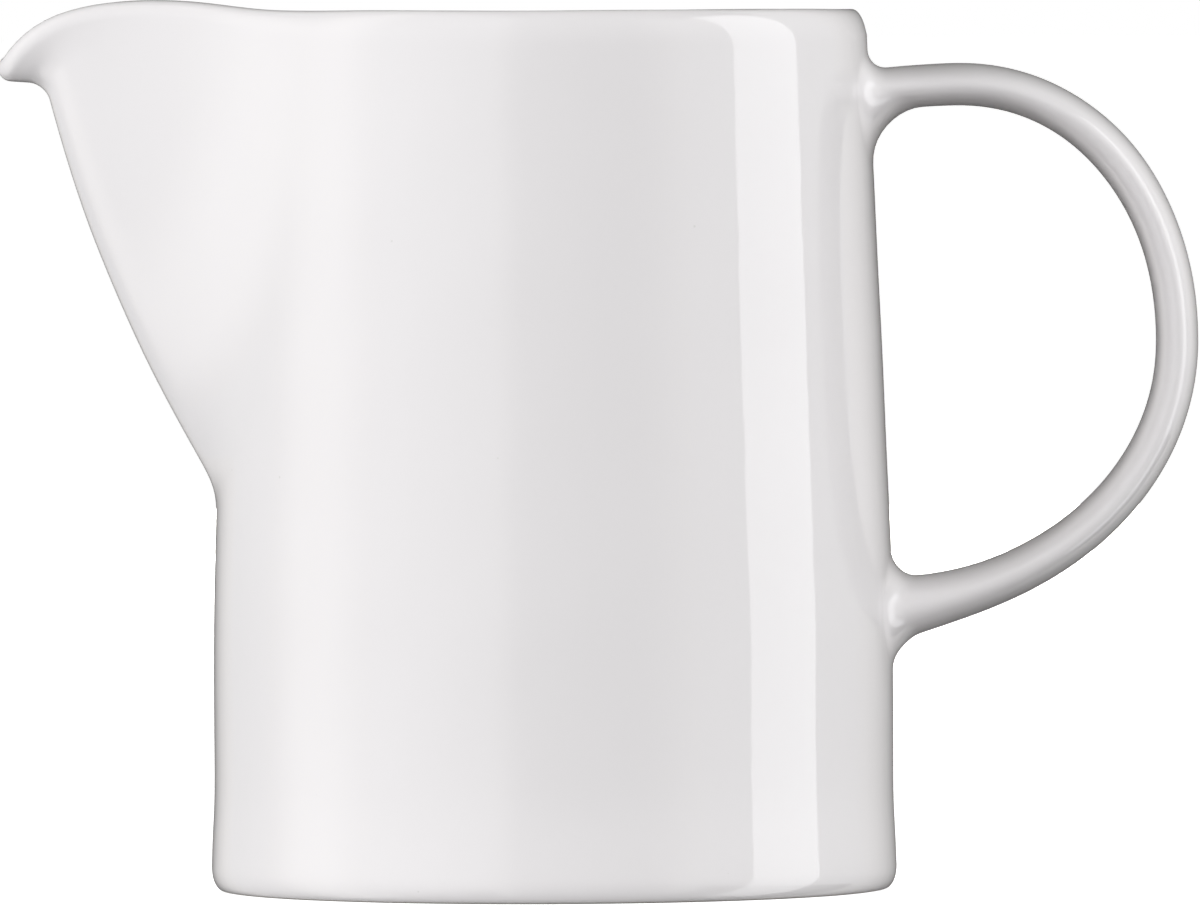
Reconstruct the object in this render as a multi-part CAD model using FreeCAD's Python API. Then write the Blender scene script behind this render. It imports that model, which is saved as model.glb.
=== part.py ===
import FreeCAD, Part
import math
import os

# White porcelain milk jug: body, pouring spout and ear-shaped handle in one piece.
# Millimetres. The axis of the body is Z and the jug stands on z = 0.
# The spout points to -X, the handle to +X, and both sides of XZ are alike.

# ---- body ----------------------------------------------------------------
HEIGHT = 98.0          # level part of the rim above the standing plane
BODY_R = 37.85         # outer radius of the straight lower part
TAPER = 2.75           # the rim's outer radius is this much smaller
SHOULDER = 33.0        # height above which the body tapers
SHOULDER_SOFT = 2.6    # softness of that change
FLARE = 0.9            # spread of the foot beyond the body
FLARE_H = 8.5          # height over which the foot spreads
FOOT_ROUND = 1.8       # rounding of the foot's outer corner
WALL = 3.2             # wall of the body
FLOOR = 4.0            # inside floor above the standing plane
FLOOR_ROUND = 7.0      # rounding between wall and floor inside
RING_W = 3.6           # width of the bare standing ring
RECESS = 1.4           # depth of the underside within the ring
RING_EDGE = 0.5        # softened inner edge of the ring

# ---- spout ---------------------------------------------------------------
SPOUT_DROP = 53.7      # the spout leaves the body this far below the rim
SPOUT_PITCH = 0.645    # outward run beyond the body per mm of height there
SPOUT_BOW = 0.0040     # loss of that pitch per mm
NOSE_R = 6.0           # radius of the spout's front, seen from above
FLANK_R = 58.0         # hollow radius between the spout and the body
CHEEK_RISE = 1.4       # extra height of the rim beside the spout
CHEEK_AT = 12.0        # azimuth of that rise from the spout, degrees
CHEEK_SPREAD = 11.0    # half angle of that rise, degrees
LIP_DROP = 7.0         # dip of the rim at the tip
DROP_SPREAD = 4.1      # half angle of that dip, degrees
LIP_BEND = 2.0         # bend radius of the turned-out lip
LIP_TURN = 86.0        # angle by which the tip turns out, degrees
LIP_TAIL = 2.25        # straight end of the lip after the bend
LIP_SPREAD = 5.5       # half angle over which the turn fades, degrees
LIP_WALL = 2.9         # wall at the tip

# ---- handle --------------------------------------------------------------
STRAP_T = 4.75         # thickness of the oval strap
STRAP_W = 15.0         # width of the strap
ROOT_DROP = 8.4        # upper root's centre below the rim
LOW_ROOT = 31.7        # lower root's centre above the standing plane
REACH = 34.6           # furthest centre of the strap beyond the rim's radius
REACH_SHARE = 0.508    # height of that place between the two roots
LEVEL_RUN = 9.4        # level stretch of the strap beyond the rim's radius
UPPER_POWER = 2.12     # fullness of the upper bow, 2 for an ellipse
LOW_SWELL = 2.6        # extra thickness of the strap where it meets the wall low down
SWELL_RUN = 7.5        # distance over which most of that is gone
ROOT_DIP = 0.5         # the strap's centre dips this much further where it meets the wall
DIP_RUN = 5.0          # distance over which most of that dip is gone
SINK = 1.7             # depth of the strap's ends inside the wall
FILLET_OVER_TOP = 2.2  # fillets from strap to body, above and below each root
FILLET_UNDER_TOP = 5.6
FILLET_OVER_LOW = 3.0
FILLET_UNDER_LOW = 3.0
ROOT_FALL = 1.85       # fillets end where the wall has fallen back this much beside the strap

# ---- fineness of the control nets ------------------------------------------
COLUMNS = 60           # points round the body
CROWDING = 0.6         # how much they crowd towards the spout
STRAP_POINTS = 16      # points round the strap
BOW_POINTS = 12        # points along each bow of the strap

RIM_R = BODY_R - TAPER
SPOUT_Z = HEIGHT - SPOUT_DROP
LIP_TURN_RAD = math.radians(LIP_TURN)


def vector(r, phi, z):
    """Point at radius r and azimuth phi, counted from the spout."""
    return FreeCAD.Vector(-r * math.cos(phi), -r * math.sin(phi), z)


def bell(phi, centre, spread):
    """Smooth weight, 1 at the azimuth centre and fading over spread (degrees)."""
    return math.exp(-((abs(math.degrees(phi)) - centre) / spread) ** 2)


def body_radius(z):
    """Outer radius of the plain body at height z."""
    soft = SHOULDER_SOFT * math.log(1 + math.exp((z - SHOULDER) / SHOULDER_SOFT))
    spread = max(0.0, 1 - z / FLARE_H)
    return BODY_R - TAPER * soft / (HEIGHT - SHOULDER) + FLARE * spread ** 2


def outline(phi, z):
    """Outer radius at azimuth phi: the spout's front arc, the hollow flank arc
    and the body's circle, each tangent to the next."""
    r = body_radius(z)
    rise = z - SPOUT_Z
    run = SPOUT_PITCH * rise - SPOUT_BOW * rise ** 2
    if rise <= 0 or run < 0.02:
        return r
    nose = r + run - NOSE_R
    far = r + FLANK_R
    near = NOSE_R + FLANK_R
    flank_at = math.acos((nose ** 2 + far ** 2 - near ** 2) / (2 * nose * far))
    turn = math.pi - math.acos((nose ** 2 + near ** 2 - far ** 2) / (2 * nose * near))
    nose_end = math.atan2(NOSE_R * math.sin(turn), nose + NOSE_R * math.cos(turn))
    p = abs(phi)
    if p >= flank_at:
        return r
    if p > nose_end:
        side = far * math.sin(flank_at - p)
        return far * math.cos(flank_at - p) - math.sqrt(FLANK_R ** 2 - side ** 2)
    return nose * math.cos(p) + math.sqrt(NOSE_R ** 2 - (nose * math.sin(p)) ** 2)


def lip(phi, s):
    """Outward and upward offset along the turned-out lip, s from 0 to 1."""
    weight = max(1e-4, bell(phi, 0, LIP_SPREAD))
    arc = LIP_BEND * LIP_TURN_RAD
    run = s * (arc + LIP_TAIL * weight)
    angle = min(run, arc) / LIP_BEND * weight
    tail = max(0.0, run - arc)
    out = LIP_BEND / weight * (1 - math.cos(angle)) + tail * math.sin(angle)
    up = LIP_BEND / weight * math.sin(angle) + tail * math.cos(angle)
    return out, up


def skin_point(phi, v):
    """Outer skin: v from 0 to 1 runs up the body, from 1 to 2 along the lip."""
    end = HEIGHT - WALL / 2
    end += CHEEK_RISE * bell(phi, CHEEK_AT, CHEEK_SPREAD)
    end -= LIP_DROP * bell(phi, 0, DROP_SPREAD)
    start = end - lip(phi, 1)[1]
    if v <= 1:
        z = start * v
        return vector(outline(phi, z), phi, z)
    out, up = lip(phi, v - 1)
    return vector(outline(phi, start + up) + out, phi, start + up)


def inner_point(phi, v):
    """Inner skin: the outer skin moved in by the wall, which thins towards the tip."""
    e = 1e-4
    round_step = skin_point(phi + e, v) - skin_point(phi - e, v)
    up_step = skin_point(phi, v + e) - skin_point(phi, v - e)
    inward = up_step.cross(round_step)
    inward.normalize()
    thinning = max(0.0, v - 0.8) / 1.2
    wall = WALL - (WALL - LIP_WALL) * bell(phi, 0, 2 * LIP_SPREAD) * thinning
    return skin_point(phi, v) + inward * wall


def columns():
    """Azimuth of each column of points and the step there, denser at the spout."""
    step = 2 * math.pi / COLUMNS
    half = COLUMNS // 2
    turns = [((i - 1 + half) % COLUMNS - half) * step for i in range(COLUMNS)]
    return [(u - CROWDING * math.sin(u), (1 - CROWDING * math.cos(u)) * step) for u in turns]


def levels():
    """Values of v for the rows of points, from the foot to the end of the lip."""
    foot = [FOOT_ROUND + FLARE_H * k / 3 for k in (1, 2, 3)]
    gap = SHOULDER - foot[-1]
    straight = [foot[-1] + gap * 0.38, foot[-1] + gap * 0.75, SHOULDER]
    straight.append((SHOULDER + SPOUT_Z) / 2)
    rows = [z / HEIGHT for z in foot + straight]
    first = SPOUT_Z / HEIGHT
    rows += [first + (0.95 - first) * k / 7 for k in range(8)]
    return rows + [0.985, 1.15, 1.4, 1.65, 1.85, 2.0]


def arc_row(azimuths, mid_r, mid_z, radius, angle):
    """One ring of a rounded corner, angle counted from straight down."""
    r = mid_r + radius * math.sin(angle)
    z = mid_z - radius * math.cos(angle)
    return [vector(r, phi, z) for phi in azimuths]


def rim_row(below, outer, inner, turn):
    """One row of the round rim between the last outer and inner points."""
    row = []
    for a, b, c in zip(below, outer, inner):
        half = (c - b) * 0.5
        along = b - a
        along -= half * (half.dot(along) / half.dot(half))
        along.normalize()
        row.append(b + half * (1 - math.cos(turn)) + along * (half.Length * math.sin(turn)))
    return row


def body_net():
    """Rows of control points: foot corner, outer skin, rim, inner skin, floor corner."""
    cols = columns()
    azimuths = [phi for phi, step in cols]
    quarter = math.pi / 2
    foot_r = body_radius(FOOT_ROUND) - FOOT_ROUND
    net = [arc_row(azimuths, foot_r, FOOT_ROUND, FOOT_ROUND, quarter * k / 4)
           for k in range(4)]
    rows = levels()
    inside = [v for v in rows if v * HEIGHT > FLOOR + FLOOR_ROUND + WALL]
    outer = [[skin_point(phi, v) for phi in azimuths] for v in rows]
    inner = [[inner_point(phi, v) for phi in azimuths] for v in inside]
    net += outer
    net += [rim_row(outer[-2], outer[-1], inner[-1], quarter * k / 2) for k in (1, 2, 3)]
    net += inner[::-1]
    corner_r = BODY_R - WALL - FLOOR_ROUND
    net += [arc_row(azimuths, corner_r, FLOOR + FLOOR_ROUND, FLOOR_ROUND, quarter * k / 4)
            for k in (4, 3, 2, 1, 0)]
    for row in net:
        for i, (phi, step) in enumerate(cols):
            # a smooth surface runs just inside its control points
            gain = 1 + step ** 2 / 6
            row[i] = FreeCAD.Vector(row[i].x * gain, row[i].y * gain, row[i].z)
    return net


def fade(x, height, run):
    """1 at the wall at this height, falling to nothing with distance from it."""
    return math.exp(-max(0.0, x - body_radius(height)) / run)


def strap_line():
    """Centre line of the strap as (x, z), from the upper root to the lower one."""
    top = HEIGHT - ROOT_DROP
    mid = LOW_ROOT + REACH_SHARE * (top - LOW_ROOT)
    far = RIM_R + REACH
    bow = RIM_R + LEVEL_RUN
    start = body_radius(top) - SINK
    end = body_radius(LOW_ROOT) - SINK
    line = [(start + (bow - start) * k / 3, top) for k in range(3)]
    for k in range(BOW_POINTS + 1):
        a = math.pi / 2 * (1 - k / BOW_POINTS)
        x = bow + (far - bow) * math.cos(a) ** (2 / UPPER_POWER)
        z = mid + (top - mid) * math.sin(a) ** (2 / UPPER_POWER)
        line.append((x, z))
    for k in range(1, BOW_POINTS + 1):
        a = math.pi / 2 * k / BOW_POINTS
        line.append((end + (far - end) * math.cos(a), mid - (mid - LOW_ROOT) * math.sin(a)))
    return [(x, z - ROOT_DIP * fade(x, z, DIP_RUN)) for x, z in line]


def strap_thickness(x, z):
    """Thickness of the strap at a point of its centre line, swollen at the lower root."""
    if z > (LOW_ROOT + HEIGHT - ROOT_DROP) / 2:
        return STRAP_T
    return STRAP_T + LOW_SWELL * fade(x, LOW_ROOT, SWELL_RUN)


def strap_net():
    """Rows of control points of the strap, an oval across its centre line."""
    line = strap_line()
    last = len(line) - 1
    gain = 3 / (2 + math.cos(2 * math.pi / STRAP_POINTS))
    net = []
    for i, (x, z) in enumerate(line):
        x0, z0 = line[max(0, i - 1)]
        x1, z1 = line[min(last, i + 1)]
        along = FreeCAD.Vector(x1 - x0, 0, 0 if i in (0, last) else z1 - z0)
        along.normalize()
        row = []
        for k in range(STRAP_POINTS):
            a = 2 * math.pi * (k - 1) / STRAP_POINTS
            out = strap_thickness(x, z) / 2 * gain * math.cos(a)
            side = STRAP_W / 2 * gain * math.sin(a)
            row.append(FreeCAD.Vector(x - along.z * out, side, z + along.x * out))
        net.append(row)
    return net


def smooth_surface(net):
    """Cubic surface that follows the net, open along it and closed round it."""
    surface = Part.BSplineSurface()
    rows = len(net)
    around = len(net[0])
    surface.buildFromPolesMultsKnots(
        net, [4] + [1] * (rows - 4) + [4], [1] * (around + 1),
        list(range(rows - 2)), list(range(around + 1)), False, True, 3, 3)
    return surface


def solid_of(faces):
    """Solid bounded by faces that share their edges."""
    shell = Part.makeShell(faces)
    shell.sewShape()
    solid = Part.makeSolid(shell)
    if solid.Volume < 0:
        solid.reverse()
    return solid


def make_body():
    """Body with its spout, hollow inside and open at the top."""
    band = smooth_surface(body_net()).toShape()
    rings = [edge for edge in band.Edges if edge.BoundBox.ZLength < 1e-6]
    return solid_of([band] + [Part.Face(Part.Wire([ring])) for ring in rings])


def make_strap():
    """Strap in two halves that meet on the XZ plane, closed by its end faces."""
    net = strap_net()
    halves = []
    for k in range(2):
        surface = smooth_surface(net)
        surface.segment(0, len(net) - 3, k * STRAP_POINTS / 2, (k + 1) * STRAP_POINTS / 2)
        halves.append(surface.toShape())
    ends = [edge for half in halves for edge in half.Edges if edge.BoundBox.XLength < 1e-5]
    ends.sort(key=lambda edge: edge.BoundBox.ZMin)
    return solid_of(halves + [Part.Face(Part.Wire(ends[:2])), Part.Face(Part.Wire(ends[2:]))])


def blend_root(shape, height, over, under):
    """Fillet where the strap meets the body, over and under the root at this height.
    Both radii shrink when a wide strap on a narrow body leaves the sides less room."""
    room = math.sqrt(2 * body_radius(height) * ROOT_FALL) - STRAP_W / 2
    share = min(1.0, 2 * room / (over + under))
    for edge in shape.Edges:
        box = edge.BoundBox
        at_wall = box.XMin > 0 and box.XMax < body_radius(height) + 1
        if at_wall and abs((box.ZMin + box.ZMax) / 2 - height) < STRAP_T / 2:
            return shape.makeFillet(over * share, under * share, [edge])
    raise ValueError("no root edge at this height")


def make_recess():
    """Shallow hollow of the underside, its edge softened towards the ring."""
    r = body_radius(FOOT_ROUND) - FOOT_ROUND - RING_W
    profile = Part.makePolygon([
        FreeCAD.Vector(0, 0, -1), FreeCAD.Vector(r + RING_EDGE, 0, -1),
        FreeCAD.Vector(r + RING_EDGE, 0, 0), FreeCAD.Vector(r, 0, RING_EDGE),
        FreeCAD.Vector(r - RECESS, 0, RECESS), FreeCAD.Vector(0, 0, RECESS),
        FreeCAD.Vector(0, 0, -1)])
    return Part.Face(profile).revolve(FreeCAD.Vector(), FreeCAD.Vector(0, 0, 1), 360)


jug = make_body().fuse(make_strap())
jug = blend_root(jug, HEIGHT - ROOT_DROP, FILLET_OVER_TOP, FILLET_UNDER_TOP)
jug = blend_root(jug, LOW_ROOT, FILLET_OVER_LOW, FILLET_UNDER_LOW)
jug = jug.cut(make_recess()).Solids[0]
box = jug.BoundBox
print("jug: valid", jug.isValid(), "volume cm3", round(jug.Volume / 1000, 2))
print("size", [round(side, 2) for side in (box.XLength, box.YLength, box.ZLength)])
os.makedirs("parts", exist_ok=True)
jug.exportStep("parts/jug.step")
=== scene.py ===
import math

import bmesh
import bpy
import numpy as np
from mathutils import Matrix, Vector

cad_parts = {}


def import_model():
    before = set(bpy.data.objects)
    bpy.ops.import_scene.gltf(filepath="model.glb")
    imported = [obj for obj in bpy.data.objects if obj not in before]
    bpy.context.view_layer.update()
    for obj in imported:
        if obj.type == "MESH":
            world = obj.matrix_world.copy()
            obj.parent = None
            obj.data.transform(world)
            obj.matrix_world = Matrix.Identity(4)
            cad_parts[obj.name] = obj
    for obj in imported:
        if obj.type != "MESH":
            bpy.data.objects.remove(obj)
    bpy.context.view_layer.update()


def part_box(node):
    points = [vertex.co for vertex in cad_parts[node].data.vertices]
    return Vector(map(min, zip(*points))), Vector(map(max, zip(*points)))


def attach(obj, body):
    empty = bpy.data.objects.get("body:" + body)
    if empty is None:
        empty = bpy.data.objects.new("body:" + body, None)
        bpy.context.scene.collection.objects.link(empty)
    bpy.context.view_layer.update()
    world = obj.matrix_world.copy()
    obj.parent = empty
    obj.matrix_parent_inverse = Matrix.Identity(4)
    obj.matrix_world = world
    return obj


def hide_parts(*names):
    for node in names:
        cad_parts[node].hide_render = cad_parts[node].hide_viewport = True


# A white porcelain milk jug on a plain white table. The jug is one piece of glazed
# porcelain, so one mesh replaces the CAD node: body, spout, rim, inside, foot and
# handle in one closed skin. Its sizes are millimetres until it is seated in the
# node's box, which is in metres.

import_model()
jug_low, jug_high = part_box("jug")

# ---- body: the solid's form, with a softer rim and foot ------------------------
HEIGHT = 98.0           # standing plane to the level rim
BODY_R = 37.85          # outer radius of the straight lower third
TAPER = 2.75            # how much narrower the rim is
RIM_R = BODY_R - TAPER
SHOULDER = 33.0         # height where the taper begins, and how gradually
SHOULDER_SOFT = 2.6
FLARE = 0.32            # how much the wall spreads at the foot
FLARE_H = 11.0          # height where the spread begins
FLARE_FULL = 3.5        # height under which it is complete
FOOT_ROUND = 1.30       # depth and height of the foot's rounded corner
FOOT_TALL = 2.6
RIM_SOFT = 3.8          # height of the rim's outer rounding, away from the spout
SOFT_SPREAD = 38.0      # how far round from the spout the rim stays tight, in degrees
WALL = 3.2
FLOOR = 4.0             # thickness of the floor
FLOOR_ROUND = 7.0       # radius of the inside's lower corner
RING_W = 3.6            # width of the standing ring
RING_EDGE = 0.2         # how far within it the ring's flat ends
RING_ROUND = 0.8        # its inner corner
RECESS = 1.4            # depth of the recess, and its corner
RECESS_ROUND = 2.2
RECESS_RINGS = (0.3, 0.6)   # rings of the mesh across it, as shares of its radius
PIN_R = 0.4             # radius of the disc that closes it

# ---- spout ---------------------------------------------------------------------
SPOUT_Z = 44.63         # height where it leaves the wall
SPOUT_PITCH = 0.6405    # how far its front runs out for its rise
SPOUT_BOW = 0.0040      # how much that slackens with the square of the rise
LEAST_RUN = 1e-6        # keeps its arcs defined below it
NOSE_R = 6.0            # radius of its front, from above
FLANK_R = 58.0          # radius of its hollow flanks
CHEEK_RISE = 1.205      # how much the rim rises beside the lip, and where, in degrees
CHEEK_AT = 11.5
CHEEK_SPREAD = 10.75
LIP_DROP = 6.50         # how much the rim falls at the lip, and how widely, in degrees
DROP_SPREAD = 4.6
LIP_BEND = 1.99         # radius of the turned-out lip
LIP_TURN = math.radians(86.0)
LIP_TAIL = 2.0          # straight run after the bend
LIP_SPREAD = 5.3        # how widely it turns out, in degrees
LEAST_TURN = 1e-4       # share of the turn that is left all round, near nothing
LIP_WALL = 2.94         # wall at the lip
THIN_FROM = 78.0        # height where the wall begins to thin towards the lip
THIN_RUN = 18.0         # height over which it does

# ---- handle --------------------------------------------------------------------
STRAP_T = 4.72          # thickness
STRAP_W = 15.0          # width across
TOP_ROOT = 89.8         # heights of the centre line
LOW_ROOT = 32.0
REACH = 34.52           # from the rim's radius to the centre line's furthest point
REACH_SHARE = 0.497     # height of that point between the roots
LEVEL_RUN = 9.2         # level run at the top
UPPER_POWER = 2.11      # 2 is an ellipse, and more is squarer
LOW_SWELL = 2.75        # extra thickness at the lower root, and how soon it fades
SWELL_RUN = 6.6
ROOT_DIP = 0.95         # how much lower the line is at the wall, and how soon it recovers
DIP_RUN = 8.0
SINK = 1.7              # how far the line goes into the wall
FILLETS = {"top": (2.2, 5.6), "low": (3.0, 3.0)}   # over and under each root

# ---- unevenness of the casting --------------------------------------------------
LONG_WAVE = 0.05        # height
LONG_RUNS = (9.1, 10.7, 13.9)
LONG_SHIFTS = (1.3, -0.4, 0.8)
SHORT_WAVE = 0.03
SHORT_RUNS = (4.3, 6.1, 5.2, 7.7)
SHORT_SHIFT = 2.1
WAVE_FROM = 0.5         # the foot stands flat up to this height
WAVE_RUN = 3.0          # the waves grow over this one

# ---- fineness of the mesh ------------------------------------------------------
COLUMNS = 256           # round the body
MIDDLE_COLUMN = COLUMNS // 2    # at the handle
CROWDING = 0.55         # denser towards the spout
ROW_STEP = 0.9          # height of a row
LEVEL_TOP = 40.0        # the rows are level up to here, and then lean to follow the rim
LEAN_ROOM = 4.5         # height that the count of leaning rows leaves out
BLUR = 8                # passes that soften the joins of the spout's arcs
LIP_ROWS = 14
RIM_ROWS = 7            # each side of the crest
STEEPEST = 0.99         # limit of the share of the rim's rounding that outer rows reach
CORNER_STEPS = 6        # along a rounded corner underneath
FOOT_ROWS = 10
CURVE_ROWS = 14         # along the inside's lower corner
GAP = 1                 # height left free between it and the wall's rows
FLOOR_RINGS = (0.82, 0.6, 0.38, 0.18, 0.015)   # as shares of the flat floor's radius
HALF_HOLE = 9           # columns each side of the middle that a handle root takes up
HOLE_ABOVE = {"top": 3.4, "low": 5.4}
HOLE_BELOW = {"top": 8.0, "low": 6.5}
PATCH_ROWS = 5
FILLET_ROWS = 10
STRAP_ROWS = 150
ARC_POINTS = 400        # along each quarter of the strap's centre line
LEVEL_POINTS = 60       # along its level run
LINE_POINTS = 1200      # along the whole of it, evenly
LINE_BLUR = 300         # passes that soften it
ROOT_POINTS = 500       # how many of those a root's fillet looks at
FILLET_REACH = 1.6      # how far along the wall it looks, in radii
WALL_POINTS = 1500
HALVINGS = 40

# ---- glaze ---------------------------------------------------------------------
PALE = ((0.35, (0.864, 0.845, 0.850)), (0.65, (0.884, 0.866, 0.871)))
CLOUDS = 22.0           # scale of the cloudiness between the two
SPECK = (0.77, 0.76, 0.75)
SPECKS = 170.0          # scale
SPECK_EDGE = (0.018, 0.028)
BISCUIT = (0.72, 0.69, 0.64)
BISCUIT_ROUGH = 0.75
BARE_EDGE = (0.00008, 0.00022)   # height in metres where the bare ring gives way to glaze
GLOSS = (0.03, 0.06)    # roughness of the glaze, and the scale of its patches
PATCHES = 60.0
RIPPLES = 420.0         # scale, strength and depth in metres
RIPPLE_STRENGTH = 0.05
RIPPLE_DEPTH = 0.0002
GLAZE_IOR = 1.5

# ---- studio, in metres ---------------------------------------------------------
WHITE = 1.0             # backdrop, as the camera and the glaze see it
FILL = 0.36             # even light from all round
FILL_TINT = (1.0, 0.992, 0.955)
ZENITH = 0.30           # the even light overhead, as a share of that at the horizon
TABLE_HALF = 60.0
TABLE_SEEN = 0.8        # the table's own white, and the glow that lifts it, for the camera
TABLE_GLOW = 0.86
TABLE_SHADE_GREY = 0.12       # painted shade: its tone in the light that it gives back, a dark grey
TABLE_LIGHT_PALE = 0.28       # painted light: paler round the foot, to lift the foot from below
PAINTED_LIGHT_R = (0.048, 0.085)

LAMP_TINT = (0.998, 1.0, 1.012)
REAR_TINT = (1.0, 0.965, 0.90)
MIDDLE = (0, 0, 0.05)
LOW_MIDDLE = (0, 0, 0.03)
# place as azimuth, distance and height; target; width and height; watts; tint
LAMPS = {
    "key": (-68, 1.1, 0.22, MIDDLE, 0.7, 0.6, 7.4, LAMP_TINT),
    "front": (-5, 1.3, 0.30, MIDDLE, 0.8, 0.6, 8.5, LAMP_TINT),
    "side": (76, 1.1, 0.22, MIDDLE, 0.7, 0.6, 2.25, LAMP_TINT),
    "strip": (83, 0.6, 0.03, LOW_MIDDLE, 0.323, 1.56, 3.8, LAMP_TINT),
    "rear": (180, 1.5, 0.45, MIDDLE, 0.24, 0.9, 7.0, REAR_TINT),
    "back": (180, 1.3, 0.05, MIDDLE, 0.3, 0.5, 5.0, LAMP_TINT),
}
GLAZE_LAMP = "strip"    # the only lamp that the glaze mirrors

# boards, as places along X and their tone there
BOARD_TINT = (1.0, 0.975, 0.945)
BOARD_FOOT = -1.0
BOARD_TOP = 1.6
LOW_BOARD = ((-1.5, 1.0), (-0.35, 0.08), (2.5, 0.08))
LOW_HALF = 2.5
TOP_BOARD = ((-0.60, 1.0), (-0.20, 0.10), (1.4, 0.10))
BACK_Y = 0.5
BACK_BOARD = ((-0.45, 1.0), (-0.06, 0.08), (0.06, 0.10), (0.72, 1.0))
LEFT_X = -0.8
LEFT_GLOW = 1.9
LEFT_BOARD = ((-0.42, 0.53), (-0.10, 1.0), (0.00, 1.0), (0.32, 0.53))
FRONT_Y = -0.9
FRONT_BOARD = ((-0.34, 1.0), (-0.14, 0.03), (0.45, 0.03), (1.10, 1.0))

CAMERA_AIM = (0.00530, 0, 0.0486)
CAMERA_PLACE = (0.00530, -2.10, 0.098)
CAMERA_ROLL = -0.25     # degrees
VIEW_WIDTH = 0.1337     # at the aim
SENSOR = 36.0           # millimetres
CLIP = (0.1, 300.0)


def bell(phi, centre, spread):
    """1 at this many degrees from the spout, on both sides, falling off over the spread."""
    return np.exp(-((np.abs(np.degrees(phi)) - centre) / spread) ** 2)


def body_radius(z):
    """Outer radius of the body at a height, without the spout."""
    z = np.asarray(z, float)
    soft = SHOULDER_SOFT * np.logaddexp(0, (z - SHOULDER) / SHOULDER_SOFT)
    spread = np.clip((FLARE_H - z) / (FLARE_H - FLARE_FULL), 0, 1)
    return BODY_R - TAPER * soft / (HEIGHT - SHOULDER) + FLARE * spread ** 2 * (3 - 2 * spread)


def outline(phi, z):
    """Outer radius: the spout's front arc, the hollow flank arc and the body's circle."""
    r = body_radius(z)
    rise = np.clip(z - SPOUT_Z, 0, None)
    run = SPOUT_PITCH * rise - SPOUT_BOW * rise ** 2
    nose = np.maximum(r + run, r + LEAST_RUN) - NOSE_R
    far = r + FLANK_R
    near = NOSE_R + FLANK_R
    flank_at = np.arccos(np.clip((nose ** 2 + far ** 2 - near ** 2) / (2 * nose * far), -1, 1))
    turn = np.arccos(np.clip((nose ** 2 + near ** 2 - far ** 2) / (2 * nose * near), -1, 1))
    turn = math.pi - turn
    nose_end = np.arctan2(NOSE_R * np.sin(turn), nose + NOSE_R * np.cos(turn))
    p = np.abs(phi)
    side = far * np.sin(flank_at - p)
    flank = far * np.cos(flank_at - p) - np.sqrt(np.clip(FLANK_R ** 2 - side ** 2, 0, None))
    front = nose * np.cos(p) + np.sqrt(np.clip(NOSE_R ** 2 - (nose * np.sin(p)) ** 2, 0, None))
    return np.where(p >= flank_at, r, np.where(p > nose_end, flank, front))


def lip(phi, s):
    """Outward and upward offset along the turned-out lip, s from 0 to 1."""
    weight = np.maximum(LEAST_TURN, bell(phi, 0, LIP_SPREAD))
    arc = LIP_BEND * LIP_TURN
    run = s * (arc + LIP_TAIL * weight)
    angle = np.minimum(run, arc) / LIP_BEND * weight
    tail = np.clip(run - arc, 0, None)
    out = LIP_BEND / weight * (1 - np.cos(angle)) + tail * np.sin(angle)
    up = LIP_BEND / weight * np.sin(angle) + tail * np.cos(angle)
    return out, up


def azimuths():
    """Azimuth of each column, from the spout round to the spout."""
    u = (np.arange(COLUMNS) - MIDDLE_COLUMN) * 2 * math.pi / COLUMNS
    u = np.roll(u, MIDDLE_COLUMN)
    return u - CROWDING * np.sin(u)


def ring_points(r, phi, z):
    """One row of points round the axis, azimuths counted from the spout."""
    r = r + np.zeros_like(phi)
    z = z + np.zeros_like(phi)
    return np.stack([-r * np.cos(phi), -r * np.sin(phi), z], -1)


def rounded(profile):
    """Points (r, z) along a profile of corners (r, z, radius), each corner rounded."""
    points = []
    for i, (r, z, radius) in enumerate(profile):
        if radius == 0:
            points.append((r, z))
            continue
        here = np.array([r, z])
        before = np.array(profile[i - 1][:2]) - here
        after = np.array(profile[i + 1][:2]) - here
        before /= np.linalg.norm(before)
        after /= np.linalg.norm(after)
        half = math.acos(np.clip(before @ after, -1, 1)) / 2
        cut = radius / math.tan(half)
        for k in range(CORNER_STEPS + 1):
            t = k / CORNER_STEPS
            points.append(tuple(here + before * cut * (1 - t) ** 2 + after * cut * t ** 2))
    return points


def underside_rows(phi):
    """From the middle of the underside to the foot's outer corner."""
    foot_r = float(body_radius(FOOT_TALL)) - FOOT_ROUND
    ring_r = foot_r - RING_W
    profile = [(PIN_R, RECESS, 0)]
    profile += [(ring_r * share, RECESS, 0) for share in RECESS_RINGS]
    profile += [(ring_r - RECESS, RECESS, RECESS_ROUND), (ring_r + RING_EDGE, 0, RING_ROUND),
                (ring_r + RING_W / 2, 0, 0)]
    rows = [ring_points(r, phi, z) for r, z in rounded(profile)]
    for k in range(FOOT_ROWS):
        a = math.pi / 2 * k / FOOT_ROWS
        rows.append(ring_points(foot_r + FOOT_ROUND * math.sin(a), phi,
                                FOOT_TALL * (1 - math.cos(a))))
    return rows


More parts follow.
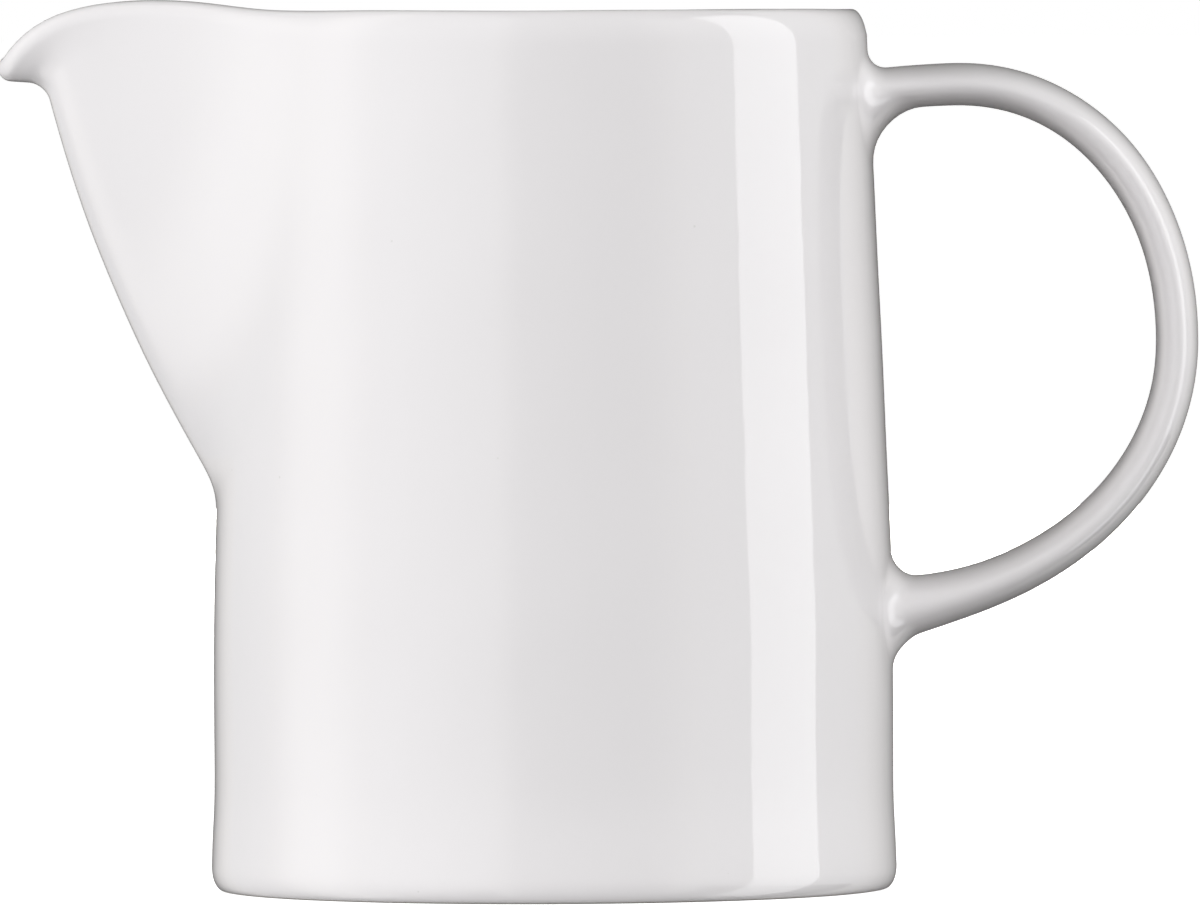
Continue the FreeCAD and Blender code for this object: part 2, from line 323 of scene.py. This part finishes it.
def outer_rows(phi):
    """Outer skin from the foot to the end of the lip."""
    end = HEIGHT - WALL / 2
    end = end + CHEEK_RISE * bell(phi, CHEEK_AT, CHEEK_SPREAD)
    end = end - LIP_DROP * bell(phi, 0, DROP_SPREAD)
    start = end - lip(phi, 1.0)[1]
    low = np.linspace(FOOT_TALL, LEVEL_TOP, int((LEVEL_TOP - FOOT_TALL) / ROW_STEP) + 1)
    count = int((HEIGHT - LEAN_ROOM - LEVEL_TOP) / ROW_STEP)
    z = [np.full_like(phi, h) for h in low]
    z += [LEVEL_TOP + (start - LEVEL_TOP) * k / count for k in range(1, count + 1)]
    z = np.array(z)
    r = outline(phi[None, :], z)
    for _ in range(BLUR):
        r = 0.5 * r + 0.25 * (np.roll(r, 1, 1) + np.roll(r, -1, 1))
        r[1:-1] = 0.5 * r[1:-1] + 0.25 * (r[:-2] + r[2:])
    rows = [ring_points(a, phi, b) for a, b in zip(r, z)]
    drift = r[-1] - outline(phi, start)
    for k in range(1, LIP_ROWS + 1):
        out, up = lip(phi, k / LIP_ROWS)
        rows.append(ring_points(outline(phi, start + up) + out + drift, phi, start + up))
    return rows


def inner_rows(outer, phi):
    """Inner skin, top down: the outer skin moved in by the wall. Also its topmost row."""
    grid = np.array(outer)
    along = np.gradient(grid, axis=0)
    across = np.roll(grid, -1, 1) - np.roll(grid, 1, 1)
    normal = np.cross(along, across)
    normal /= np.linalg.norm(normal, axis=2, keepdims=True)
    height = grid[:, :, 2]
    thin = np.clip((height - THIN_FROM) / THIN_RUN, 0, 1)
    thin = thin * bell(phi, 0, 2 * LIP_SPREAD)[None, :]
    wall = WALL - (WALL - LIP_WALL) * thin
    sample = len(grid) // 3, 0
    inward = -np.sign((normal[..., :2] * grid[..., :2]).sum(-1)[sample])
    inner = grid + inward * normal * wall[..., None]
    keep = [i for i in range(len(grid)) if height[i].mean() > FLOOR + FLOOR_ROUND + GAP]
    return [inner[i] for i in keep][::-1], inner[-1]


def rim_rows(outer, inner, phi):
    """The rim from the last outer row to the first inner one: a tall soft rounding outside,
    which also draws in the last outer rows, and a small one inside."""
    half = (inner - outer[-1]) / 2
    along = outer[-1] - outer[-2]
    along -= half * ((half * along).sum(1) / (half * half).sum(1))[:, None]
    along /= np.linalg.norm(along, axis=1, keepdims=True)
    size = np.linalg.norm(half, axis=1)
    tall = size + (RIM_SOFT - size) * (1 - bell(phi, 0, SOFT_SPREAD))
    base = outer[-1]
    for row in outer[:-1]:
        rise = np.clip(((row - base) * along).sum(1) + tall - size, 0, None)
        row += half * (1 - np.sqrt(1 - np.clip(rise / tall, 0, STEEPEST) ** 2))[:, None]
    start = np.arcsin((tall - size) / tall)
    outer[-1] = base + half * (1 - np.cos(start))[:, None]
    rows = []
    for k in range(1, RIM_ROWS + 1):
        a = start + (math.pi / 2 - start) * k / RIM_ROWS
        rows.append(base + half * (1 - np.cos(a))[:, None]
                    + along * (tall * np.sin(a) - tall + size)[:, None])
    for k in range(1, RIM_ROWS):
        a = math.pi / 2 * (1 + k / RIM_ROWS)
        rows.append(base + half * (1 - math.cos(a)) + along * (size * math.sin(a))[:, None])
    return rows


def floor_rows(phi):
    """The inside's lower corner and its floor, to a small disc in the middle."""
    corner_r = BODY_R - WALL - FLOOR_ROUND
    rows = []
    for k in range(CURVE_ROWS + 1):
        a = math.pi / 2 * (1 - k / CURVE_ROWS)
        rows.append(ring_points(corner_r + FLOOR_ROUND * math.sin(a), phi,
                                FLOOR + FLOOR_ROUND - FLOOR_ROUND * math.cos(a)))
    return rows + [ring_points(corner_r * share, phi, FLOOR) for share in FLOOR_RINGS]


def fade(x, height, run):
    """1 at the wall at this height, falling to nothing with distance from it."""
    return np.exp(-np.clip(x - body_radius(height), 0, None) / run)


class Strap:
    """The handle's strap: its centre line, its direction and its thickness."""

    def __init__(self):
        mid = LOW_ROOT + REACH_SHARE * (TOP_ROOT - LOW_ROOT)
        far = RIM_R + REACH
        bow = RIM_R + LEVEL_RUN
        start = float(body_radius(TOP_ROOT)) - SINK
        end = float(body_radius(LOW_ROOT)) - SINK
        a = np.linspace(math.pi / 2, 0, ARC_POINTS)
        upper = np.stack([bow + (far - bow) * np.cos(a) ** (2 / UPPER_POWER),
                          mid + (TOP_ROOT - mid) * np.sin(a) ** (2 / UPPER_POWER)], 1)
        a = np.linspace(0, math.pi / 2, ARC_POINTS)[1:]
        lower = np.stack([end + (far - end) * np.cos(a), mid - (mid - LOW_ROOT) * np.sin(a)], 1)
        level = np.linspace(start, bow, LEVEL_POINTS)[:-1]
        level = np.stack([level, np.full_like(level, TOP_ROOT)], 1)
        line = np.concatenate([level, upper, lower])
        line[:, 1] -= ROOT_DIP * fade(line[:, 0], line[:, 1], DIP_RUN)
        step = np.linalg.norm(np.diff(line, axis=0), axis=1)
        length = np.concatenate([[0], np.cumsum(step)])
        self.place = np.linspace(0, length[-1], LINE_POINTS)
        line = np.stack([np.interp(self.place, length, line[:, i]) for i in (0, 1)], 1)
        for _ in range(LINE_BLUR):
            line[1:-1] = 0.5 * line[1:-1] + 0.25 * (line[:-2] + line[2:])
        way = np.gradient(line, axis=0)
        way /= np.linalg.norm(way, axis=1, keepdims=True)
        swell = LOW_SWELL * fade(line[:, 0], LOW_ROOT, SWELL_RUN)
        self.thick = STRAP_T + np.where(line[:, 1] < mid, swell, 0)
        self.line = line
        self.way = way

    def edge(self, turn):
        """Line of the strap's surface at this turn round its oval section, as x and z."""
        out = self.thick / 2 * math.cos(turn)
        return self.line[:, 0] - self.way[:, 1] * out, self.line[:, 1] + self.way[:, 0] * out


def wall_x(y, z):
    """Where the body's wall is on the handle's side, at this distance from the middle."""
    return np.sqrt(np.clip(body_radius(z) ** 2 - y ** 2, 0, None))


def fillet(root, turn, strap):
    """Fillet at one turn round the strap. Returns its points from the wall to the strap
    and the place along the strap where it ends."""
    over, under = FILLETS[root]
    upward = 1 if root == "top" else -1
    above = upward * math.cos(turn)
    radius = over * (1 + above) / 2 + under * (1 - above) / 2
    side = STRAP_W / 2 * math.sin(turn)
    xs, zs = strap.edge(turn)
    half = slice(ROOT_POINTS) if root == "top" else slice(LINE_POINTS - ROOT_POINTS, None)
    order = np.argsort(xs[half])
    at, height, place = xs[half][order], zs[half][order], strap.place[half][order]
    z_root = TOP_ROOT if root == "top" else LOW_ROOT
    near = float(wall_x(side, z_root))
    y0, z0 = side, float(np.interp(near, at, height))
    thick = float(np.interp(near, at, strap.thick[half][order]))
    normal = np.array([math.sin(turn) / STRAP_W, upward * math.cos(turn) / thick])
    ny, nz = normal / np.linalg.norm(normal)
    reach = np.linspace(0, radius * FILLET_REACH, WALL_POINTS)
    wall = wall_x(y0 + reach * ny, z0 + reach * nz)
    # the centre of the arc that touches both the strap and the wall
    low, high = float(wall[0]), float(wall[0]) + 2 * radius
    for _ in range(HALVINGS):
        centre = (low + high) / 2
        gap = np.hypot(wall - centre, reach - radius)
        if gap.min() > radius:
            high = centre
        else:
            low = centre
    touch = int(gap.argmin())
    total = math.atan2(centre - wall[touch], radius - reach[touch])
    points = []
    for k in range(FILLET_ROWS + 1):
        angle = total * (1 - k / FILLET_ROWS)
        x = centre - radius * math.sin(angle)
        q = radius * (1 - math.cos(angle))
        blend = math.cos(angle / total * math.pi / 2) ** 2
        lift = (np.interp(x, at, height) - z0) * blend
        points.append((x, y0 + q * ny, z0 + q * nz + lift))
    return points, float(np.interp(centre, at, place))


class Skin:
    """Collects the points and faces of the one closed mesh."""

    def __init__(self):
        self.points = []
        self.quads = []

    def add(self, rows):
        """Adds rows of points. Returns the number of the first."""
        first = len(self.points)
        for row in rows:
            self.points.extend(tuple(p) for p in row)
        return first

    def bridge(self, a, b):
        """Quads between two closed rings of point numbers."""
        n = len(a)
        for i in range(n):
            j = (i + 1) % n
            self.quads.append((a[i], a[j], b[j], b[i]))

    def extend(self, ring, row):
        """Adds a row of points, joined to the ring before it. Returns its point numbers."""
        first = self.add([row])
        numbers = list(range(first, first + len(ring)))
        self.bridge(ring, numbers)
        return numbers


def hole_ring(top_row, bottom_row, middle, half):
    """Grid places round a handle root: from its top middle, towards +Y, all the way round."""
    ring = [(top_row, middle + k) for k in range(0, half + 1)]
    ring += [(row, middle + half) for row in range(top_row - 1, bottom_row - 1, -1)]
    ring += [(bottom_row, middle + k) for k in range(half - 1, -half - 1, -1)]
    ring += [(row, middle - half) for row in range(bottom_row + 1, top_row + 1)]
    ring += [(top_row, middle + k) for k in range(-half + 1, 0)]
    return ring


def root_holes(outer, first_outer):
    """Top and bottom row of the grid cells that each handle root takes out."""
    heights = np.array([row[MIDDLE_COLUMN][2] for row in outer])
    holes = {}
    for root, z_root in (("top", TOP_ROOT), ("low", LOW_ROOT)):
        high = z_root + STRAP_T / 2 + HOLE_ABOVE[root]
        low = z_root - STRAP_T / 2 - HOLE_BELOW[root]
        holes[root] = [first_outer + int(np.argmin(np.abs(heights - h))) for h in (high, low)]
    # both roots have the same number of points round them, so the strap joins them
    tall = max(top_row - bottom_row for top_row, bottom_row in holes.values())
    return {root: (top_row, top_row - tall) for root, (top_row, bottom_row) in holes.items()}


def add_grid(skin, rows, holes):
    """The body's grid, from the underside round the rim to the floor, without the holes."""
    skin.add(rows)
    covered = set()
    for top_row, bottom_row in holes.values():
        for row in range(bottom_row, top_row):
            for k in range(-HALF_HOLE, HALF_HOLE):
                covered.add((row, MIDDLE_COLUMN + k))
    for row in range(len(rows) - 1):
        for column in range(COLUMNS):
            if (row, column) in covered:
                continue
            after = (column + 1) % COLUMNS
            a = row * COLUMNS
            b = a + COLUMNS
            skin.quads.append((a + column, a + after, b + after, b + column))


def add_root(skin, root, top_row, bottom_row, strap):
    """The wall round a handle root and its fillet. Returns the last ring and the places
    along the strap where it meets them."""
    ring = hole_ring(top_row, bottom_row, MIDDLE_COLUMN, HALF_HOLE)
    if root == "low":
        # the strap arrives here turned over, so this ring starts at its lower middle
        lowest = ring.index((bottom_row, MIDDLE_COLUMN))
        ring = [ring[(lowest - k) % len(ring)] for k in range(len(ring))]
    previous = [row * COLUMNS + column for row, column in ring]
    count = len(previous)
    curves = [fillet(root, 2 * math.pi * k / count, strap) for k in range(count)]
    edge = np.array([skin.points[n] for n in previous])
    foot = np.array([points[0] for points, place in curves])
    for k in range(1, PATCH_ROWS + 1):
        t = k / PATCH_ROWS
        y = edge[:, 1] * (1 - t) + foot[:, 1] * t
        z = edge[:, 2] * (1 - t) + foot[:, 2] * t
        previous = skin.extend(previous, np.stack([wall_x(y, z), y, z], 1))
    for k in range(1, FILLET_ROWS + 1):
        previous = skin.extend(previous, [points[k] for points, place in curves])
    return previous, np.array([place for points, place in curves])


def add_strap(skin, strap, top, low):
    """The strap between the last rings of both roots."""
    (previous, top_places), (last, low_places) = top, low
    count = len(previous)
    turns = [2 * math.pi * i / count for i in range(count)]
    edges = [strap.edge(turn) for turn in turns]
    for k in range(1, STRAP_ROWS):
        t = k / STRAP_ROWS
        row = []
        for i, turn in enumerate(turns):
            place = top_places[i] * (1 - t) + low_places[i] * t
            x = np.interp(place, strap.place, edges[i][0])
            z = np.interp(place, strap.place, edges[i][1])
            row.append((x, STRAP_W / 2 * math.sin(turn), z))
        previous = skin.extend(previous, row)
    skin.bridge(previous, last)


def jug_mesh():
    """Points and faces of the whole skin, in millimetres."""
    phi = azimuths()
    under = underside_rows(phi)
    outer = outer_rows(phi)
    inner, inner_top = inner_rows(outer, phi)
    rim = rim_rows(outer, inner_top, phi)
    rows = under + outer + rim + inner + floor_rows(phi)
    holes = root_holes(outer, len(under))
    skin = Skin()
    add_grid(skin, rows, holes)
    strap = Strap()
    ends = [add_root(skin, root, *holes[root], strap) for root in ("top", "low")]
    add_strap(skin, strap, *ends)
    # discs that close the middle of the underside and of the floor
    skin.quads.append(tuple(range(COLUMNS))[::-1])
    start = (len(rows) - 1) * COLUMNS
    skin.quads.append(tuple(range(start, start + COLUMNS)))
    return np.array(skin.points), skin.quads


def waves(points):
    """The slight unevenness of a slip-cast wall: long shallow waves, in millimetres."""
    x, y, z = points.T
    a, b, c = (along / run + shift for along, run, shift in zip(points.T, LONG_RUNS, LONG_SHIFTS))
    slow = LONG_WAVE * np.sin(a) * np.cos(b) * np.sin(c)
    a, b, c, d = SHORT_RUNS
    return slow + SHORT_WAVE * np.sin(x / a - z / b) * np.cos(y / c + z / d + SHORT_SHIFT)


def build_jug():
    points, faces = jug_mesh()
    mesh = bpy.data.meshes.new("jug_skin")
    mesh.from_pydata([tuple(p) for p in points], [], faces)
    bm = bmesh.new()
    bm.from_mesh(mesh)
    loose = [v for v in bm.verts if not v.link_faces]
    bmesh.ops.delete(bm, geom=loose, context="VERTS")
    bmesh.ops.recalc_face_normals(bm, faces=bm.faces)
    bm.normal_update()
    for v, shift in zip(bm.verts, waves(np.array([v.co for v in bm.verts]))):
        share = min(1.0, max(0.0, (v.co.z - WAVE_FROM) / WAVE_RUN))
        v.co += v.normal * float(shift) * share
    low = Vector([min(v.co[i] for v in bm.verts) for i in range(3)])
    high = Vector([max(v.co[i] for v in bm.verts) for i in range(3)])
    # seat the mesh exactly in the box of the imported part, in metres
    for v in bm.verts:
        for i in range(3):
            t = (v.co[i] - low[i]) / (high[i] - low[i])
            v.co[i] = jug_low[i] + t * (jug_high[i] - jug_low[i])
    for f in bm.faces:
        f.smooth = True
    bm.to_mesh(mesh)
    bm.free()
    jug = bpy.data.objects.new("jug_glazed", mesh)
    bpy.context.scene.collection.objects.link(jug)
    return jug


# ---- materials -------------------------------------------------------------------

def node_tree(name):
    material = bpy.data.materials.new(name)
    material.use_nodes = True
    tree = material.node_tree
    tree.nodes.clear()
    output = tree.nodes.new("ShaderNodeOutputMaterial")
    return material, tree, output


def make(tree, kind, **values):
    """A node, its own settings and its sockets' values."""
    node = tree.nodes.new(kind)
    for key, value in values.items():
        if key in ("operation", "data_type", "clamp"):
            setattr(node, key, value)
        else:
            node.inputs[key.replace("_", " ")].default_value = value
    return node


def span(tree, source, start, end, first, last):
    """The source's range from start to end mapped to one from first to last."""
    node = make(tree, "ShaderNodeMapRange", clamp=True, From_Min=start, From_Max=end,
                To_Min=first, To_Max=last)
    tree.links.new(source, node.inputs["Value"])
    return node.outputs["Result"]


def porcelain():
    """White body under a clear gloss glaze, bare and matt on the standing ring."""
    material, tree, output = node_tree("glazed_porcelain")
    link = tree.links.new
    where = make(tree, "ShaderNodeTexCoord").outputs["Object"]
    # faint clouds in the white
    cloud = make(tree, "ShaderNodeTexNoise", Scale=CLOUDS, Detail=3.0, Roughness=0.5)
    link(where, cloud.inputs["Vector"])
    tone = make(tree, "ShaderNodeValToRGB")
    for mark, (position, colour) in zip(tone.color_ramp.elements, PALE):
        mark.position = position
        mark.color = (*colour, 1)
    link(cloud.outputs["Fac"], tone.inputs["Fac"])
    # faint grey pinholes, a few tenths of a millimetre across and far apart
    cells = make(tree, "ShaderNodeTexVoronoi", Scale=SPECKS)
    link(where, cells.inputs["Vector"])
    speck = make(tree, "ShaderNodeMix", data_type="RGBA")
    speck.inputs["B"].default_value = (*SPECK, 1)
    link(span(tree, cells.outputs["Distance"], *SPECK_EDGE, 1.0, 0.0), speck.inputs["Factor"])
    link(tone.outputs["Color"], speck.inputs["A"])
    # the standing ring: bare biscuit where the height is next to nothing
    split = make(tree, "ShaderNodeSeparateXYZ")
    link(where, split.inputs["Vector"])
    bare = span(tree, split.outputs["Z"], *BARE_EDGE, 1.0, 0.0)
    colour = make(tree, "ShaderNodeMix", data_type="RGBA")
    colour.inputs["B"].default_value = (*BISCUIT, 1)
    link(bare, colour.inputs["Factor"])
    link(speck.outputs["Result"], colour.inputs["A"])
    # glaze: a little less smooth in patches, and very slightly rippled
    patch = make(tree, "ShaderNodeTexNoise", Scale=PATCHES, Detail=2.0)
    link(where, patch.inputs["Vector"])
    rough = make(tree, "ShaderNodeMix", data_type="FLOAT", B=BISCUIT_ROUGH)
    link(bare, rough.inputs["Factor"])
    link(span(tree, patch.outputs["Fac"], 0.0, 1.0, *GLOSS), rough.inputs["A"])
    ripple = make(tree, "ShaderNodeTexNoise", Scale=RIPPLES, Detail=1.0)
    link(where, ripple.inputs["Vector"])
    bump = make(tree, "ShaderNodeBump", Strength=RIPPLE_STRENGTH, Distance=RIPPLE_DEPTH)
    link(ripple.outputs["Fac"], bump.inputs["Height"])
    shader = make(tree, "ShaderNodeBsdfPrincipled", IOR=GLAZE_IOR)
    link(colour.outputs["Result"], shader.inputs["Base Color"])
    link(rough.outputs["Result"], shader.inputs["Roughness"])
    link(bump.outputs["Normal"], shader.inputs["Normal"])
    link(shader.outputs["BSDF"], output.inputs["Surface"])
    return material


def table_top():
    """White to the camera, with the jug's shadow; in what it lights, a grey of painted shade,
    with a paler pool of painted light near it.
    """
    material, tree, output = node_tree("table")
    link = tree.links.new
    seen = make(tree, "ShaderNodeBsdfDiffuse", Color=(TABLE_SEEN, TABLE_SEEN, TABLE_SEEN, 1))
    glow = make(tree, "ShaderNodeEmission", Strength=TABLE_GLOW)
    shown = make(tree, "ShaderNodeAddShader")
    link(seen.outputs["BSDF"], shown.inputs[0])
    link(glow.outputs["Emission"], shown.inputs[1])
    where = make(tree, "ShaderNodeNewGeometry")
    away = make(tree, "ShaderNodeVectorMath", operation="LENGTH")
    link(where.outputs["Position"], away.inputs[0])
    # its bounce: a grey of painted shade, and a paler pool of painted light round the foot
    painted_bounce = make(tree, "ShaderNodeBsdfDiffuse")
    link(span(tree, away.outputs["Value"], *PAINTED_LIGHT_R, TABLE_LIGHT_PALE, TABLE_SHADE_GREY), painted_bounce.inputs["Color"])
    ray = make(tree, "ShaderNodeLightPath")
    pick = make(tree, "ShaderNodeMixShader")
    link(ray.outputs["Is Camera Ray"], pick.inputs["Fac"])
    link(painted_bounce.outputs["BSDF"], pick.inputs[1])
    link(shown.outputs["Shader"], pick.inputs[2])
    link(pick.outputs["Shader"], output.inputs["Surface"])
    return material


def world():
    """White to the camera and in the glaze; otherwise a soft grey light, less from overhead."""
    backdrop = bpy.data.worlds.new("backdrop")
    backdrop.use_nodes = True
    tree = backdrop.node_tree
    tree.nodes.clear()
    link = tree.links.new
    white = make(tree, "ShaderNodeBackground", Strength=WHITE, Color=(1, 1, 1, 1))
    way = make(tree, "ShaderNodeTexCoord")
    split = make(tree, "ShaderNodeSeparateXYZ")
    link(way.outputs["Generated"], split.inputs["Vector"])
    tint = make(tree, "ShaderNodeVectorMath", operation="SCALE")
    tint.inputs[0].default_value = FILL_TINT
    link(span(tree, split.outputs["Z"], 0.0, 1.0, 1.0, ZENITH), tint.inputs["Scale"])
    fill = make(tree, "ShaderNodeBackground", Strength=FILL)
    link(tint.outputs["Vector"], fill.inputs["Color"])
    ray = make(tree, "ShaderNodeLightPath")
    shiny = make(tree, "ShaderNodeMath", operation="MAXIMUM")
    shown = make(tree, "ShaderNodeMath", operation="MAXIMUM")
    pick = make(tree, "ShaderNodeMixShader")
    output = make(tree, "ShaderNodeOutputWorld")
    link(ray.outputs["Is Glossy Ray"], shiny.inputs[0])
    link(ray.outputs["Is Transmission Ray"], shiny.inputs[1])
    link(ray.outputs["Is Camera Ray"], shown.inputs[0])
    link(shiny.outputs["Value"], shown.inputs[1])
    link(shown.outputs["Value"], pick.inputs["Fac"])
    link(fill.outputs["Background"], pick.inputs[1])
    link(white.outputs["Background"], pick.inputs[2])
    link(pick.outputs["Shader"], output.inputs["Surface"])
    bpy.context.scene.world = backdrop


# ---- the studio ------------------------------------------------------------------

def aim(thing, target):
    way = Vector(target) - thing.location
    thing.rotation_euler = way.to_track_quat("-Z", "Y").to_euler()


def around(azimuth, distance, height):
    """A place at this azimuth from the camera's side, counted towards the handle."""
    a = math.radians(azimuth)
    return (distance * math.sin(a), -distance * math.cos(a), height)


def lamps():
    """Soft boxes. The camera sees none of them, and the glaze only one."""
    for name, (azimuth, distance, up, target, width, height, power, tint) in LAMPS.items():
        light = bpy.data.lights.new(name, "AREA")
        light.shape = "RECTANGLE"
        light.size = width
        light.size_y = height
        light.energy = power
        light.color = tint
        lamp = bpy.data.objects.new(name, light)
        lamp.location = around(azimuth, distance, up)
        bpy.context.scene.collection.objects.link(lamp)
        aim(lamp, target)
        lamp.visible_camera = False
        lamp.visible_glossy = name == GLAZE_LAMP


def plane(name, corners, material):
    mesh = bpy.data.meshes.new(name)
    mesh.from_pydata(corners, [], [(0, 1, 2, 3)])
    mesh.materials.append(material)
    sheet = bpy.data.objects.new(name, mesh)
    bpy.context.scene.collection.objects.link(sheet)
    return sheet


def table():
    half = TABLE_HALF
    corners = [(-half, -half, 0), (half, -half, 0), (half, half, 0), (-half, half, 0)]
    top = plane("table", corners, table_top())
    top.visible_glossy = False


def board(name, corners, stops, bright=1.0):
    """A board that only the glaze sees, its glow graded along X by stops (x, tone)."""
    material, tree, output = node_tree(name)
    link = tree.links.new
    where = make(tree, "ShaderNodeTexCoord")
    split = make(tree, "ShaderNodeSeparateXYZ")
    link(where.outputs["Object"], split.inputs["Vector"])
    start, end = stops[0][0], stops[-1][0]
    ramp = make(tree, "ShaderNodeValToRGB")
    ramp.color_ramp.interpolation = "EASE"
    marks = ramp.color_ramp.elements
    marks[1].position = 1.0
    for x, tone in stops[1:-1]:
        marks.new((x - start) / (end - start))
    for mark, (x, tone) in zip(marks, stops):
        mark.color = [tone * tint for tint in BOARD_TINT] + [1]
    link(span(tree, split.outputs["X"], start, end, 0.0, 1.0), ramp.inputs["Fac"])
    glow = make(tree, "ShaderNodeEmission", Strength=WHITE * bright)
    link(ramp.outputs["Color"], glow.inputs["Color"])
    link(glow.outputs["Emission"], output.inputs["Surface"])
    material.cycles.emission_sampling = "NONE"
    sheet = plane(name, corners, material)
    sheet.visible_camera = False
    sheet.visible_shadow = False
    sheet.visible_diffuse = False
    return sheet


def upright(stops, y):
    """Corners of a standing board at this depth."""
    left, right = stops[0][0], stops[-1][0]
    return [(left, y, BOARD_FOOT), (right, y, BOARD_FOOT),
            (right, y, BOARD_TOP), (left, y, BOARD_TOP)]


def lying(stops, near, far, z):
    """Corners of a lying board at this height."""
    left, right = stops[0][0], stops[-1][0]
    return [(left, near, z), (right, near, z), (right, far, z), (left, far, z)]


def boards():
    """Dark boards under, over, behind and before the jug, and a pale one at its left."""
    board("board_low", lying(LOW_BOARD, -LOW_HALF, LOW_HALF, BOARD_FOOT), LOW_BOARD)
    board("board_top", lying(TOP_BOARD, FRONT_Y, BACK_Y, BOARD_TOP), TOP_BOARD)
    board("board_back", upright(BACK_BOARD, BACK_Y), BACK_BOARD)
    board("board_front", upright(FRONT_BOARD, FRONT_Y), FRONT_BOARD)
    side = board("board_left", upright(LEFT_BOARD, 0), LEFT_BOARD, LEFT_GLOW)
    side.location = (LEFT_X, 0, 0)
    side.rotation_euler = (0, 0, math.radians(90))


def camera():
    """Level with the rim, far away, through a long lens."""
    place = Vector(CAMERA_PLACE)
    way = Vector(CAMERA_AIM) - place
    lens = bpy.data.cameras.new("camera")
    lens.sensor_width = SENSOR
    lens.lens = SENSOR * way.length / VIEW_WIDTH
    lens.clip_start, lens.clip_end = CLIP
    cam = bpy.data.objects.new("camera", lens)
    bpy.context.scene.collection.objects.link(cam)
    cam.location = place
    turn = way.to_track_quat("-Z", "Y").to_matrix().to_4x4()
    roll = Matrix.Rotation(math.radians(CAMERA_ROLL), 4, "Z")
    cam.rotation_euler = (turn @ roll).to_euler()
    bpy.context.scene.camera = cam


jug = build_jug()
jug.data.materials.append(porcelain())
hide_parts("jug")
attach(jug, "root")

table()
boards()
world()
camera()
lamps()
bpy.context.scene.view_settings.view_transform = "Standard"
